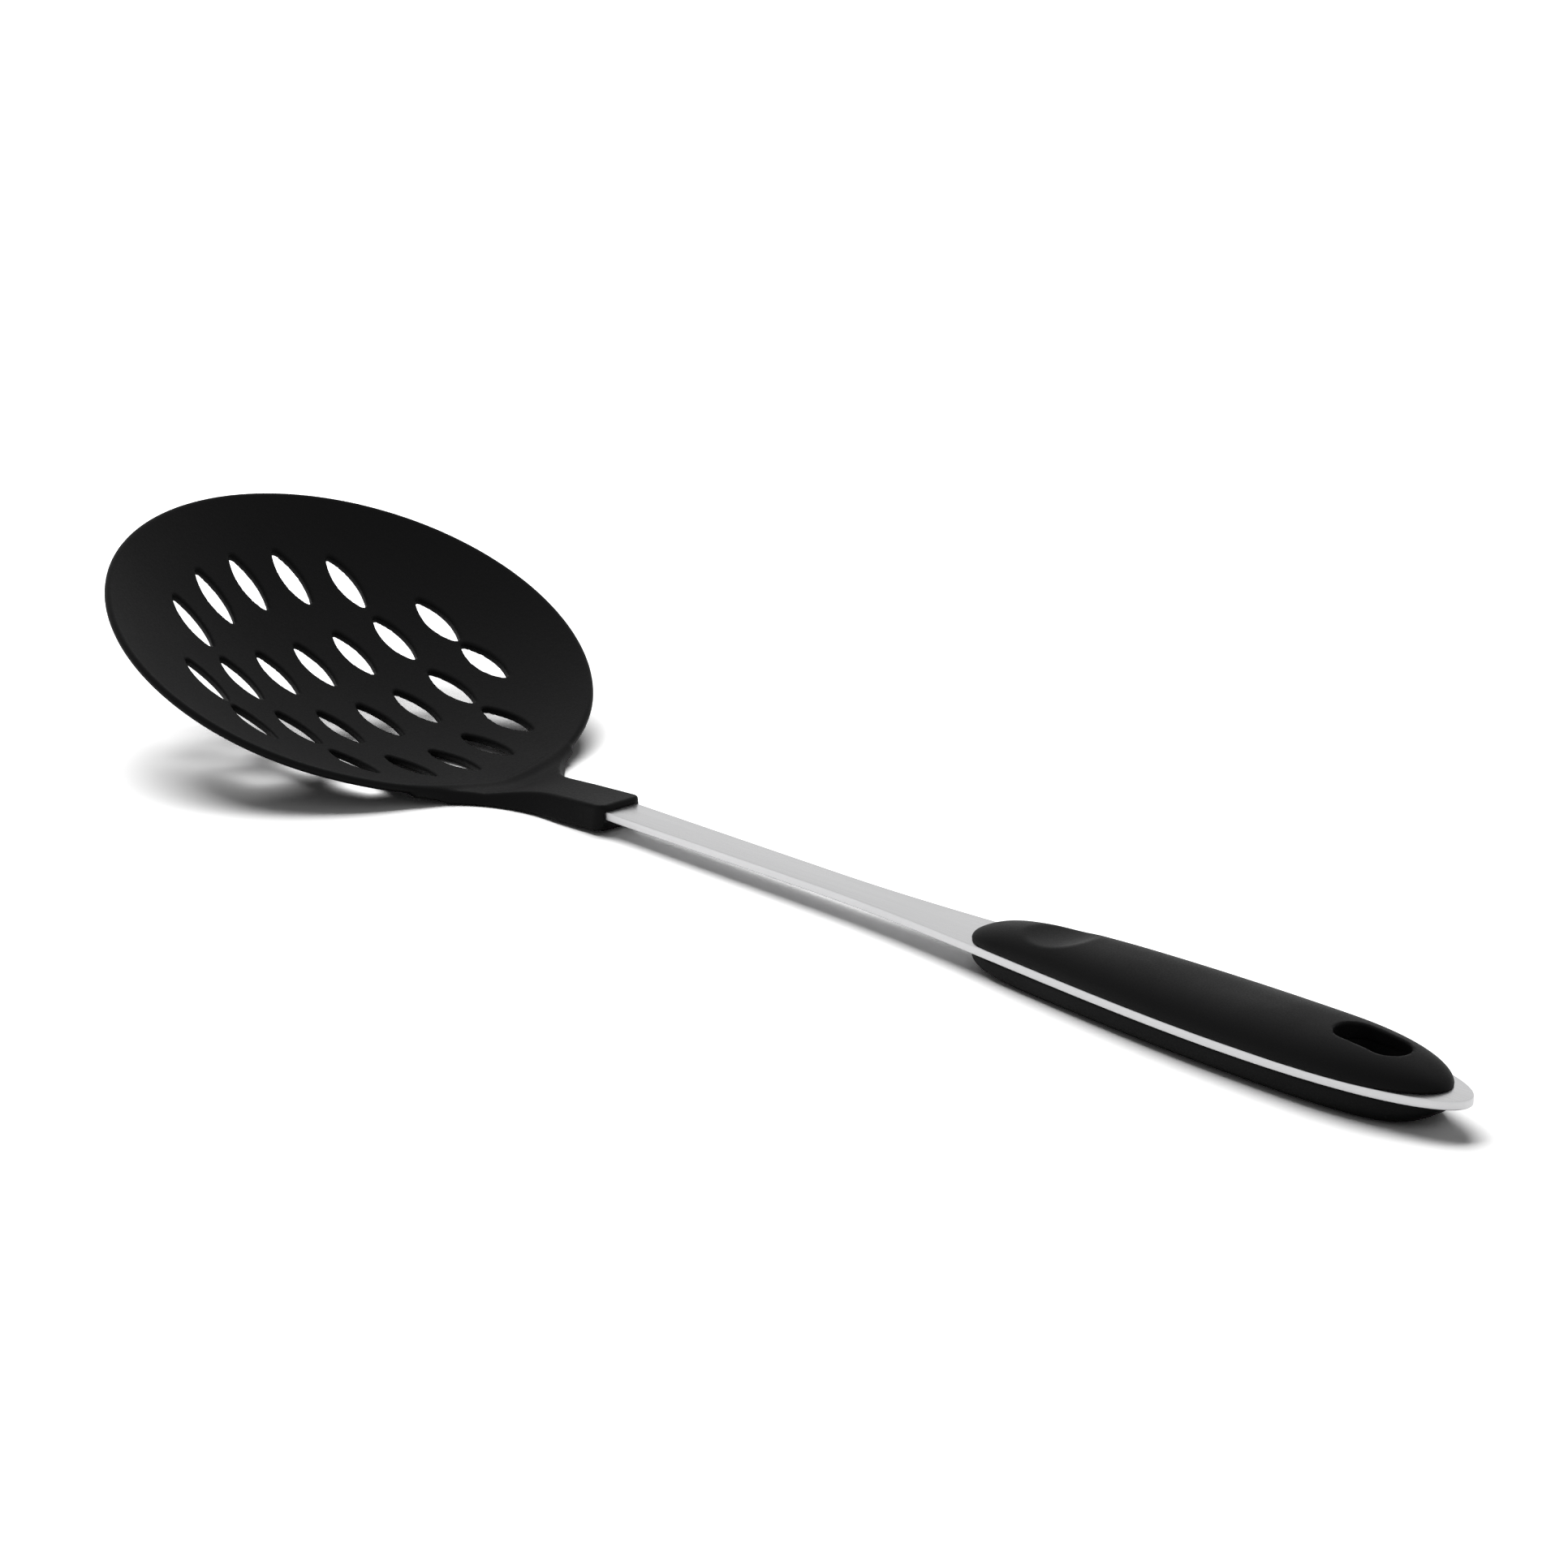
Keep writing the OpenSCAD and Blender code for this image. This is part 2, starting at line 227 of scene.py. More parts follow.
def round_max(a, b, r):
    """Intersection of two solids given by their distances, with the edge between them rounded."""
    corner = np.sqrt(np.maximum(a + r, 0) ** 2 + np.maximum(b + r, 0) ** 2)
    return np.minimum(np.maximum(a, b), -r) + corner


def smooth_min(a, b, k):
    """Union of two solids given by their distances, with a soft fillet between them."""
    h = np.maximum(k - np.abs(a - b), 0) / k
    return np.minimum(a, b) - h * h * k / 4


def ease(t):
    """A smooth step from 0 to 1."""
    s = np.clip(t, 0, 1)
    return s * s * (3 - 2 * s)


def shoulder(t, power):
    """A rounded shoulder from 0 at t = 1 to 1 at t = 0."""
    return np.sqrt(np.maximum(0, 1 - np.clip(t, 0, 1) ** power))


def stadium(x, y, length, width):
    """Distance to a slot with round ends, centred on 0."""
    reach = np.maximum(np.abs(x) - (length - width) / 2, 0)
    return np.hypot(reach, y) - width / 2


def join_diagonals(field, depth):
    """Fills the samples that would let the surface touch itself along an edge."""
    field = np.array(field)
    fill = np.ones(field.shape, bool)
    while fill.any():
        inside = field < 0
        fill = np.zeros(field.shape, bool)
        for flat in range(3):
            spans = itertools.product((slice(None, -1), slice(1, None)), repeat=2)
            corners = [s[:flat] + (slice(None),) + s[flat:] for s in spans]
            a, b, c, d = (inside[corner] for corner in corners)
            diagonal = (a == d) & (b == c) & (a != b)
            for corner in corners:
                fill[corner] |= diagonal & ~inside[corner]
        field[fill] = -depth
    return field


def net_vertices(field, inside, low, cell):
    """One vertex in each grid cell that the surface crosses, and the number of each cell's vertex."""
    shape = [n - 1 for n in field.shape]
    corners = list(itertools.product((0, 1), repeat=3))
    views = [inside[tuple(slice(c[i], c[i] + shape[i]) for i in range(3))] for c in corners]
    count = sum(v.astype(np.int8) for v in views)
    active = (count > 0) & (count < 8)
    cells = np.argwhere(active)
    number = np.full(shape, -1, np.int64)
    number[active] = np.arange(len(cells))
    total = np.zeros((len(cells), 3))
    hits = np.zeros(len(cells))
    for a, b in itertools.combinations(corners, 2):
        if sum(abs(i - j) for i, j in zip(a, b)) != 1:
            continue
        fa = field[tuple((cells + a).T)].astype(float)
        fb = field[tuple((cells + b).T)].astype(float)
        crossed = (fa < 0) != (fb < 0)
        t = np.where(crossed, fa / np.where(crossed, fa - fb, 1), 0)
        point = np.array(a) + t[:, None] * (np.array(b) - np.array(a))
        total[crossed] += point[crossed]
        hits += crossed
    return low + cell * (cells + total / hits[:, None]), number


def net_faces(inside, number):
    """A quad across each grid edge that the surface crosses."""
    faces = []
    for axis in range(3):
        one, two = (axis + 1) % 3, (axis + 2) % 3
        here = [slice(None)] * 3
        there = [slice(None)] * 3
        here[axis], there[axis] = slice(0, -1), slice(1, None)
        start, end = inside[tuple(here)], inside[tuple(there)]
        crossed = np.argwhere(start != end)
        step_one, step_two = np.eye(3, dtype=int)[one], np.eye(3, dtype=int)[two]
        ring = [crossed - step_one - step_two, crossed - step_two, crossed, crossed - step_one]
        quad = np.stack([number[tuple(r.T)] for r in ring], axis=1)
        leaves = start[tuple(crossed.T)]
        faces.append(np.where(leaves[:, None], quad, quad[:, ::-1]))
    return np.concatenate(faces)


def settle(verts, faces, field, step):
    """Evens the spacing of the vertices and sets each one on the field's surface."""
    edges = np.concatenate([faces[:, [i, (i + 1) % 4]] for i in range(4)])
    start, end = edges[:, 0], edges[:, 1]
    count = np.bincount(start, minlength=len(verts))[:, None]
    shift = np.eye(3) * step
    for _ in range(SETTLE_ROUNDS):
        total = np.stack([np.bincount(start, verts[end, i], len(verts)) for i in range(3)], 1)
        verts = verts + EVEN_SHARE * (total / count - verts)
        for _ in range(SETTLE_PULLS):
            value = field(*verts.T)
            rise = [field(*(verts + s).T) - field(*(verts - s).T) for s in shift]
            slope = np.stack(rise, 1) / (2 * step)
            steepness = np.maximum((slope**2).sum(1), LEAST_STEEPNESS)
            move = (value / steepness)[:, None] * slope
            length = np.linalg.norm(move, axis=1)[:, None]
            verts = verts - move * np.minimum(1, step * LONGEST_PULL / np.maximum(length, TINY))
    return verts


def solid_mesh(field, low, high, cell):
    """Vertices and quads of the closed surface where the field is 0."""
    low = np.array(low, float)
    counts = np.ceil((np.array(high) - low) / cell).astype(int) + 1
    axes = [(low[i] + cell * np.arange(counts[i])).astype(np.float32) for i in range(3)]
    grid = np.broadcast_to(field(*np.meshgrid(*axes, indexing="ij", sparse=True)), counts)
    grid = join_diagonals(grid, cell / JOIN_PARTS)
    inside = grid < 0
    verts, number = net_vertices(grid, inside, low, cell)
    faces = net_faces(inside, number)
    return settle(verts, faces, field, cell / SETTLE_PARTS), faces


def make_piece(name, verts, faces, material, slot, *nodes):
    """A piece of the object from a mesh in millimetres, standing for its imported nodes."""
    mesh = bpy.data.meshes.new(name)
    mesh.from_pydata((np.asarray(verts) * MM).tolist(), [], [list(map(int, f)) for f in faces])
    mesh.validate()
    mesh.shade_smooth()
    mesh.materials.append(material)
    piece = bpy.data.objects.new(name, mesh)
    bpy.context.scene.collection.objects.link(piece)
    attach(piece, "root")
    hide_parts(*nodes)
    return piece


def from_shank(points):
    """Points drawn along the shank, set in the object's frame."""
    x, y, z = np.asarray(points).T
    c, s = math.cos(SHANK_RISE), math.sin(SHANK_RISE)
    return np.stack([mouth_x + x * c - z * s, y, MOUTH_H + x * s + z * c], 1)


def from_dish(points):
    """Points drawn about the middle of the rim, set in the object's frame."""
    u, v, n = np.asarray(points).T
    c, s = math.cos(HEAD_TILT), math.sin(HEAD_TILT)
    return np.stack([head_x + u * c + n * s, v, head_z - u * s + n * c], 1)


# The head.


def slot_places():
    """Middle of each drain slot, u towards the neck and v across the dish."""
    for side in (-1, 1):
        for k in range(-OUTER_SIDE_SLOTS, OUTER_SIDE_SLOTS + 1):
            v = k * SLOT_PITCH
            yield OUTER_SHIFT + side * math.sqrt(slot_ring_r**2 - v * v), v
        for k in range(-INNER_SIDE_SLOTS, INNER_SIDE_SLOTS + 1):
            bow = (side * INNER_BOW + INNER_LEAN) * (k / INNER_SIDE_SLOTS) ** 2
            yield INNER_SHIFT + side * INNER_GAP / 2 - bow, k * SLOT_PITCH


def slot_distance(u, v):
    """Distance to one drain slot: two arcs that meet in round tips."""
    tip = SLOT_L / 2 - SLOT_TIP_R
    half = SLOT_W / 2 - SLOT_TIP_R
    arc_r = (tip * tip + half * half) / (2 * half)
    off = arc_r - half
    a, b = np.abs(u), np.abs(v)
    at_tip = (a - tip) * off > b * tip
    return np.where(at_tip, np.hypot(a - tip, b), np.hypot(b + off, a) - arc_r) - SLOT_TIP_R


def rim_dip(u, v):
    """How far the rim bends down towards the neck."""
    bend = np.maximum(u - RIM_DIP_START, 0) / (rim_r - RIM_DIP_START)
    notch = ease((u - NECK_DIP_START) / (rim_r - NECK_DIP_START)) * np.exp(-((v / NECK_DIP_W) ** 2))
    return RIM_DIP * bend**RIM_DIP_POWER + NECK_DIP * notch


def rim_top(y):
    """Height of the crest of the rim beside the neck, at y across it."""
    u = np.sqrt(np.maximum(rim_r**2 - y * y, 0))
    crest = HEAD_WALL / 2 - rim_dip(u, y)
    return head_z - u * math.sin(HEAD_TILT) + crest * math.cos(HEAD_TILT)


def dish_field(u, v, n):
    """Distance to the slotted wall of the dish, whose rim bends down a little at the neck."""
    n = n + rim_dip(u, v)
    rho = np.hypot(u, v)
    shell = np.abs(np.hypot(rho, n - ball_h) - middle_r)
    rim = np.hypot(rho - rim_r, n)
    beyond = rho * ball_h > rim_r * (ball_h - n)
    wall = np.where(beyond, rim, shell) - HEAD_WALL / 2
    slots = FAR_AWAY
    for cu, cv in slot_places():
        slots = np.minimum(slots, slot_distance(u - cu, v - cv))
    return round_max(wall, -slots, SLOT_EDGE_R)


def neck_top(x, y):
    """Height of the neck: a web by the crest of the rim, sunk at its ends, then a rise to the socket."""
    roof = MOUTH_H + STRIP_T + SOCKET_ROOF + SOCKET_SLOPE * (x - mouth_x)
    web = rim_top(y) - WEB_SINK * (np.abs(y) / web_half) ** WEB_SINK_POWER
    left = np.clip((mouth_x - TOE_END - x) / (TOE_START - TOE_END), 0, 1)
    return web + (roof - web) * (1 - left**TOE_POWER)


def neck_floor(x):
    """Height of the neck's underside: a heel on the table that rises to the mouth of the socket."""
    mouth_floor = MOUTH_H - SOCKET_FLOOR
    rise = (mouth_floor - HEEL_FLOOR) * np.maximum(x - mouth_x + HEEL_END, 0) / HEEL_END
    return HEEL_FLOOR + rise + WEB_SLOPE * np.maximum(mouth_x - WEB_START - x, 0)


def neck_field(x, y, z):
    """Distance to the neck: a tongue that widens into the rim and rises to the socket."""
    rim_plan_x = head_x + HEAD_D / 2 * math.cos(HEAD_TILT) - rim_plan_r
    fillet_x = rim_plan_x + math.sqrt((rim_plan_r + NECK_FILLET) ** 2 - fillet_y**2)
    top_z = neck_top(x, y)
    foot = NECK_FOOT + (SOCKET_FOOT - NECK_FOOT) * ease((x - mouth_x) / SOCKET_DEPTH + 1)
    across = np.abs(y) - foot * np.clip((top_z - z) / top_z, 0, 1)
    flare = NECK_FILLET - np.hypot(x - fillet_x, across - fillet_y)
    side = np.where(x < fillet_x, flare, across - SOCKET_W / 2)
    side = np.where(across > fillet_y, across - SOCKET_W / 2, side)
    plan = round_max(side, x - mouth_x, SOCKET_CORNER_R)
    plan = np.maximum(plan, rim_plan_r - NECK_OVERLAP - np.hypot(x - rim_plan_x, y))
    plan = np.maximum(plan, across - web_half)
    top = round_max(z - top_z, x - mouth_x, SOCKET_END_R)
    return round_max(plan, np.maximum(top, neck_floor(x) - z), SOCKET_EDGE_R)


def strip_distance(x, y, z):
    """Distance to the end of the strip in the socket, with the hole for the locking peg."""
    lx = (x - mouth_x) * math.cos(SHANK_RISE) + (z - MOUTH_H) * math.sin(SHANK_RISE)
    lz = (z - MOUTH_H) * math.cos(SHANK_RISE) - (x - mouth_x) * math.sin(SHANK_RISE)
    box = np.maximum(np.abs(y) - STRIP_W / 2, np.abs(lz - STRIP_T / 2) - STRIP_T / 2)
    box = np.maximum(box, -SOCKET_DEPTH - lx)
    peg = np.hypot(lx + SOCKET_DEPTH / 2, y) - LOCK_PEG_D / 2
    return np.maximum(box, -peg) - FIT_GAP


def head_field(u, v, n):
    """Distance to the whole head, about the middle of the rim."""
    c, s = math.cos(HEAD_TILT), math.sin(HEAD_TILT)
    x = head_x + u * c + n * s
    z = head_z - u * s + n * c
    body = smooth_min(dish_field(u, v, n), neck_field(x, v, z), NECK_BLEND)
    body = np.maximum(body, -z) + SKIN_INSET
    return np.maximum(body, -strip_distance(x, v, z))


def make_head(material):
    """The moulded head: slotted dish, neck and socket."""
    mouth_u = (mouth_x - head_x) * math.cos(HEAD_TILT) + (head_z - MOUTH_H) * math.sin(HEAD_TILT)
    mouth_n = (mouth_x - head_x) * math.sin(HEAD_TILT) - (head_z - 2 * MOUTH_H) * math.cos(HEAD_TILT)
    low = (-HEAD_D / 2 - SPARE, -HEAD_D / 2 - SPARE, -HEAD_DEPTH - HEAD_WALL - SPARE)
    high = (mouth_u + 2 * SPARE, HEAD_D / 2 + SPARE, mouth_n + 2 * SPARE)
    verts, faces = solid_mesh(head_field, low, high, HEAD_CELL)
    return make_piece("head", from_dish(verts), faces, material, "head_nylon", "skimmer_head")


# The shank.


def plan_half(x, tail, power):
    """Half the width at x of the steel or the grip, whose round rear end lies at tail."""
    flare = STRIP_W / 2 + (GRIP_W - STRIP_W) / 2 * ease((x - flare_start) / (widest_x - flare_start))
    end = GRIP_W / 2 * shoulder((x - widest_x) / (tail - widest_x), power)
    return np.where(x < widest_x, flare, end)


def steel_outline():
    """Outline of the steel from above, from the strip's end round the tail and back."""
    share = np.arange(FLARE_STEPS + 1) / FLARE_STEPS
    straight = np.linspace(-SOCKET_DEPTH, flare_start, STRIP_STEPS, endpoint=False)
    flare = flare_start + (widest_x - flare_start) * share[:-1]
    tail = widest_x + (steel_l - widest_x) * np.sin(math.pi / 2 * share)
    x = np.concatenate([straight, flare, tail])
    y = plan_half(x, steel_l, TANG_POWER)
    return np.concatenate([np.stack([x, -y], 1), np.stack([x, y], 1)[-2::-1]])


def circle_outline(x, radius):
    """Round hole in the steel, clockwise."""
    a = -2 * math.pi * np.arange(HOLE_STEPS) / HOLE_STEPS
    return np.stack([x + radius * np.cos(a), radius * np.sin(a)], 1)


def slot_outline(x, length, width):
    """Slot with round ends in the steel, clockwise."""
    a = np.linspace(math.pi / 2, -math.pi / 2, SLOT_END_STEPS)
    arc = np.stack([(length - width) / 2 + width / 2 * np.cos(a), width / 2 * np.sin(a)], 1)
    return np.concatenate([arc, -arc]) + [x, 0]


def inward(outline):
    """Unit vectors from an outline into the steel, which lies on its left."""
    along = np.roll(outline, -1, 0) - np.roll(outline, 1, 0)
    along /= np.linalg.norm(along, axis=1)[:, None]
    return np.stack([-along[:, 1], along[:, 0]], 1)


def steel_outlines():
    """Outline of the steel and of each hole in it."""
    lining = 2 * (COLLAR_WALL + PEG_GAP)
    first_peg = grip_start + PEG_PLACE
    return [
        steel_outline(),
        circle_outline(-SOCKET_DEPTH / 2, LOCK_PEG_D / 2 - FIT_GAP),
        circle_outline(first_peg, PEG_D / 2 + PEG_GAP),
        circle_outline(first_peg + PEG_SPACING, PEG_D / 2 + PEG_GAP),
        slot_outline(hang_x, HANG_L + lining, HANG_W + lining),
    ]


def add_wall(bm, outline):
    """The edge of the steel along an outline, rounded at its corners. Gives its lowest and highest ring."""
    turns = np.linspace(0, math.pi / 2, EDGE_STEPS)
    insets = STEEL_EDGE_R * (1 - np.sin(turns))
    heights = STEEL_EDGE_R * (1 - np.cos(turns))
    levels = list(zip(insets, heights)) + list(zip(insets[::-1], STRIP_T - heights[::-1]))
    normals = inward(outline)
    rings = []
    for inset, height in levels:
        flat = outline + normals * inset
        points = from_shank(np.column_stack([flat, np.full(len(flat), height)])) * MM
        rings.append([bm.verts.new(p) for p in points])
    for low, high in zip(rings, rings[1:]):
        for i in range(len(low)):
            j = (i + 1) % len(low)
            bm.faces.new((low[i], low[j], high[j], high[i]))
    return rings[0], rings[-1]


def make_shank(material):
    """The stamped steel strip and tang, with softened edges."""
    bm = bmesh.new()
    walls = [add_wall(bm, outline) for outline in steel_outlines()]
    for rings in zip(*walls):
        edges = [bm.edges.get((r[i], r[(i + 1) % len(r)])) for r in rings for i in range(len(r))]
        bmesh.ops.triangle_fill(bm, use_beauty=True, edges=edges)
    bmesh.ops.recalc_face_normals(bm, faces=bm.faces)
    mesh = bpy.data.meshes.new("shank")
    bm.to_mesh(mesh)
    bm.free()
    verts = [v.co / MM for v in mesh.vertices]
    faces = [list(p.vertices) for p in mesh.polygons]
    bpy.data.meshes.remove(mesh)
    piece = make_piece("shank", verts, faces, material, "shank_steel", "steel_shank")
    piece.data.set_sharp_from_angle(angle=SHARP_ANGLE)
    return piece


# The grip.


def grip_half(x):
    """Half the width of the grip, drawn in at the nose and the rear end."""
    nose = shoulder((grip_start + NOSE_L - x) / NOSE_L, NOSE_POWER)
    return plan_half(x, grip_end, GRIP_TAIL_POWER) * nose


def crown(x):
    """Height of the upper half along its middle."""
    front = shoulder((grip_start + CROWN_FRONT_L - x) / CROWN_FRONT_L, CROWN_FRONT_POWER)
    return CROWN_H * front * shoulder((x - grip_end + CROWN_REAR_L) / CROWN_REAR_L, CROWN_POWER)


def belly(x):
    """Depth of the lower half along its middle, before its belly is flattened."""
    front = shoulder((grip_start + BELLY_FRONT_L - x) / BELLY_FRONT_L, CROWN_POWER)
    rear = shoulder((x - grip_end + BELLY_REAR_L) / BELLY_REAR_L, CROWN_POWER)
    return (table_depth(x) + BELLY_FLAT) * front * rear


def table_depth(x):
    """Depth from the underside of the tang to the table."""
    return MOUTH_H / math.cos(SHANK_RISE) + x * math.tan(SHANK_RISE)


def section_value(x, y, z, height, power):
    """Below 0 inside the rounded section of a half of the grip, whose flat side is at z = 0."""
    wide = np.abs(y) / np.maximum(grip_half(x), SECTION_LEAST)
    tall = np.maximum(z, 0) / np.maximum(height(x), SECTION_LEAST)
    return (wide**power + tall**power) ** (1 / power) - 1


def section_distance(x, y, z, *form):
    """About the distance to the rounded section of a half of the grip."""
    h = SECTION_STEP
    value = section_value(x, y, z, *form)
    dx = (section_value(x + h, y, z, *form) - section_value(x - h, y, z, *form)) / (2 * h)
    dy = (section_value(x, y + h, z, *form) - section_value(x, y - h, z, *form)) / (2 * h)
    dz = (section_value(x, y, z + h, *form) - section_value(x, y, z - h, *form)) / (2 * h)
    return value / np.maximum(np.sqrt(dx * dx + dy * dy + dz * dz), SECTION_LEAST_SLOPE)


def pocket_distance(x, y, z):
    """Distance to the plate inside a half of the grip."""
    sides = np.abs(y) - (grip_half(x) - SKIN_SIDE)
    ends = np.maximum(core_start - x, x - core_end)
    return np.maximum(np.maximum(sides, ends), z - CORE_H) - FIT_GAP


def mouth_distance(x, y):
    """Distance to the mouth of the hanging slot in the soft skin, which lips over the plates a little."""
    return stadium(x - hang_x + MOUTH_BACK, y - MOUTH_FAR, HANG_L - MOUTH_IN, HANG_W - MOUTH_IN)


def thumb_distance(x, y, z):
    """Distance to the large round form that hollows the thumb rest."""
    place = grip_start + THUMB_PLACE
    floor = crown(np.array(place)) - THUMB_DEPTH + THUMB_SLOPE * (x - place)
    long_r = math.sqrt(THUMB_LONG_R * THUMB_REACH)
    cross_r = math.sqrt(THUMB_CROSS_R * THUMB_REACH)
    up = (z - floor - THUMB_REACH) / THUMB_REACH
    return THUMB_REACH * (np.sqrt(((x - place) / long_r) ** 2 + (y / cross_r) ** 2 + up * up) - 1)


def upper_field(x, y, z):
    """Distance to the soft upper half, with z from the top of the tang."""
    form = section_distance(x, y, z, crown, CROWN_SECTION_POWER)
    form = round_max(form, -thumb_distance(x, y, z), THUMB_EDGE_R)
    form = round_max(form, -z, GRIP_EDGE_R)
    form = round_max(form, -mouth_distance(x, y), HANG_LIP_R)
    return np.maximum(form, -pocket_distance(x, y, z))


def lower_field(x, y, z):
    """Distance to the soft lower half, with z down from the underside of the tang."""
    form = section_distance(x, y, z, belly, BELLY_SECTION_POWER)
    form = round_max(form, z - table_depth(x), GRIP_EDGE_R)
    form = round_max(form, -z, GRIP_EDGE_R)
    form = round_max(form, -mouth_distance(x, y), HANG_LIP_R)
    return np.maximum(form, -pocket_distance(x, y, z))


def make_grip_half(name, field, height, base, up, material, node):
    """A soft half of the grip. Its flat side lies at base on the shank, and up is 1 or -1."""
    low = (grip_start - SPARE, -GRIP_W / 2 - SPARE, -SPARE)
    high = (grip_end + SPARE, GRIP_W / 2 + SPARE, height + SPARE)
    verts, faces = solid_mesh(field, low, high, GRIP_CELL)
    verts = verts * [1, 1, up] + [0, 0, base]
    faces = faces if up > 0 else faces[:, ::-1]
    return make_piece(name, from_shank(verts), faces, material, "grip_rubber", node)


# Materials.

NYLON_DARK = (0.002, 0.002, 0.0021)
NYLON_LIGHT = (0.0034, 0.0034, 0.0035)
CORE_DARK = (0.006, 0.006, 0.0062)
CORE_LIGHT = (0.01, 0.01, 0.0102)
RUBBER_DARK = (0.002, 0.002, 0.0021)
RUBBER_LIGHT = (0.0032, 0.0032, 0.0033)
STEEL_DARK = (0.53, 0.53, 0.535)
STEEL_LIGHT = (0.57, 0.57, 0.575)
STEEL_EDGE = (0.53, 0.53, 0.535)


def combine(tree, operation, *values):
    """A sum, product or the like of values that come from nodes or are plain numbers."""
    node = tree.nodes.new("ShaderNodeMath")
    node.operation = operation
    for socket, value in zip(node.inputs, values):
        if isinstance(value, float):
            socket.default_value = value
        else:
            tree.links.new(value, socket)
    return node.outputs[0]


def mix_shaders(tree, factor, one, two):
    """One shader where the factor is 0 and the other where it is 1."""
    node = tree.nodes.new("ShaderNodeMixShader")
    tree.links.new(factor, node.inputs["Fac"])
    tree.links.new(one.outputs[0], node.inputs[1])
    tree.links.new(two.outputs[0], node.inputs[2])
    return node


class Nodes:
    """A material's nodes, added and joined by short calls."""

    def __init__(self, name):
        self.material = bpy.data.materials.new(name)
        self.material.use_nodes = True
        self.tree = self.material.node_tree
        self.shader = self.tree.nodes["Principled BSDF"]

    def add(self, kind, **inputs):
        """A node of that kind, whose inputs are set by name."""
        node = self.tree.nodes.new(kind)
        for key, value in inputs.items():
            node.inputs[key.replace("_", " ")].default_value = value
        return node

    def link(self, source, target):
        self.tree.links.new(source, target)

    def coordinates(self, scale):
        """The object's own coordinates in metres, scaled along each axis."""
        place = self.add("ShaderNodeTexCoord")
        mapping = self.add("ShaderNodeMapping", Scale=scale)
        self.link(place.outputs["Object"], mapping.inputs["Vector"])
        return mapping.outputs["Vector"]

    def noise(self, scale, detail=2.0, stretch=(1, 1, 1), roughness=0.5):
        """Noise with features of about 1 / scale metres, stretched along the axes."""
        node = self.add("ShaderNodeTexNoise", Scale=scale, Detail=detail, Roughness=roughness)
        self.link(self.coordinates(stretch), node.inputs["Vector"])
        return node.outputs["Fac"]

    def span(self, value, low, high, start=0.3, end=0.7):
        """The value from start to end, spread from low to high."""
        node = self.tree.nodes.new("ShaderNodeMapRange")
        for key, number in (("From Min", start), ("From Max", end), ("To Min", low), ("To Max", high)):
            node.inputs[key].default_value = number
        self.link(value, node.inputs["Value"])
        return node.outputs["Result"]

    def mix(self, factor, two):
        """A mix of colours, with its second colour set."""
        node = self.tree.nodes.new("ShaderNodeMix")
        node.data_type = "RGBA"
        node.inputs["B"].default_value = (*two, 1)
        self.link(factor, node.inputs["Factor"])
        return node

    def blend(self, factor, one, two):
        """A mix of two plain colours."""
        node = self.mix(factor, two)
        node.inputs["A"].default_value = (*one, 1)
        return node.outputs["Result"]

    def toward(self, factor, colour, other):
        """A colour made by nodes, mixed with a plain one."""
        node = self.mix(factor, other)
        self.link(colour, node.inputs["A"])
        return node.outputs["Result"]

    def edges(self):
        """1 on upright sides and 0 on flats."""
        place = self.add("ShaderNodeTexCoord")
        parts = self.add("ShaderNodeSeparateXYZ")
        self.link(place.outputs["Normal"], parts.inputs[0])
        level = combine(self.tree, "ABSOLUTE", parts.outputs["Z"])
        return self.span(level, 1, 0, start=0.3, end=0.9)

    def sum(self, *values):
        """The values added up."""
        total = values[0]
        for value in values[1:]:
            total = combine(self.tree, "ADD", total, value)
        return total

    def bump(self, height, distance, strength=1.0):
        """Fine relief, with the height's whole range as deep as the distance in metres."""
        node = self.add("ShaderNodeBump", Strength=strength, Distance=distance)
        self.link(height, node.inputs["Height"])
        self.link(node.outputs["Normal"], self.shader.inputs["Normal"])

    def set(self, **inputs):
        """Values of the shader that are the same all over."""
        for key, value in inputs.items():
            self.shader.inputs[key.replace("_", " ")].default_value = value


def moulded_plastic(name, dark, light, roughness, specular):
    """Matte moulded plastic: faint flow marks, a fine sparked grain and shallow pores."""
    m = Nodes(name)
    flow = m.noise(35, detail=3, stretch=(0.5, 1, 1))
    grain = m.noise(2600)
    pores = m.noise(900, detail=3)
    m.link(m.blend(m.span(flow, 0, 1), dark, light), m.shader.inputs["Base Color"])
    rough = m.sum(m.span(flow, *roughness), m.span(grain, -0.04, 0.04))
    m.link(rough, m.shader.inputs["Roughness"])
    m.bump(m.sum(grain, m.span(pores, 0, 0.8)), distance=0.00004, strength=0.5)
    m.set(Specular_IOR_Level=specular)
    return m.material


def soft_touch(name):
    """Soft-touch rubber: a fine even grain, with a slight sheen where hands rub it."""
    m = Nodes(name)
    rub = m.noise(60, detail=4)
    grain = m.noise(3400)
    m.link(m.blend(m.span(rub, 0, 1), RUBBER_DARK, RUBBER_LIGHT), m.shader.inputs["Base Color"])
    rough = m.sum(m.span(rub, 0.5, 0.62), m.span(grain, -0.05, 0.05))
    m.link(rough, m.shader.inputs["Roughness"])
    m.bump(grain, distance=0.00003, strength=0.5)
    m.set(Specular_IOR_Level=0.075)
    return m.material


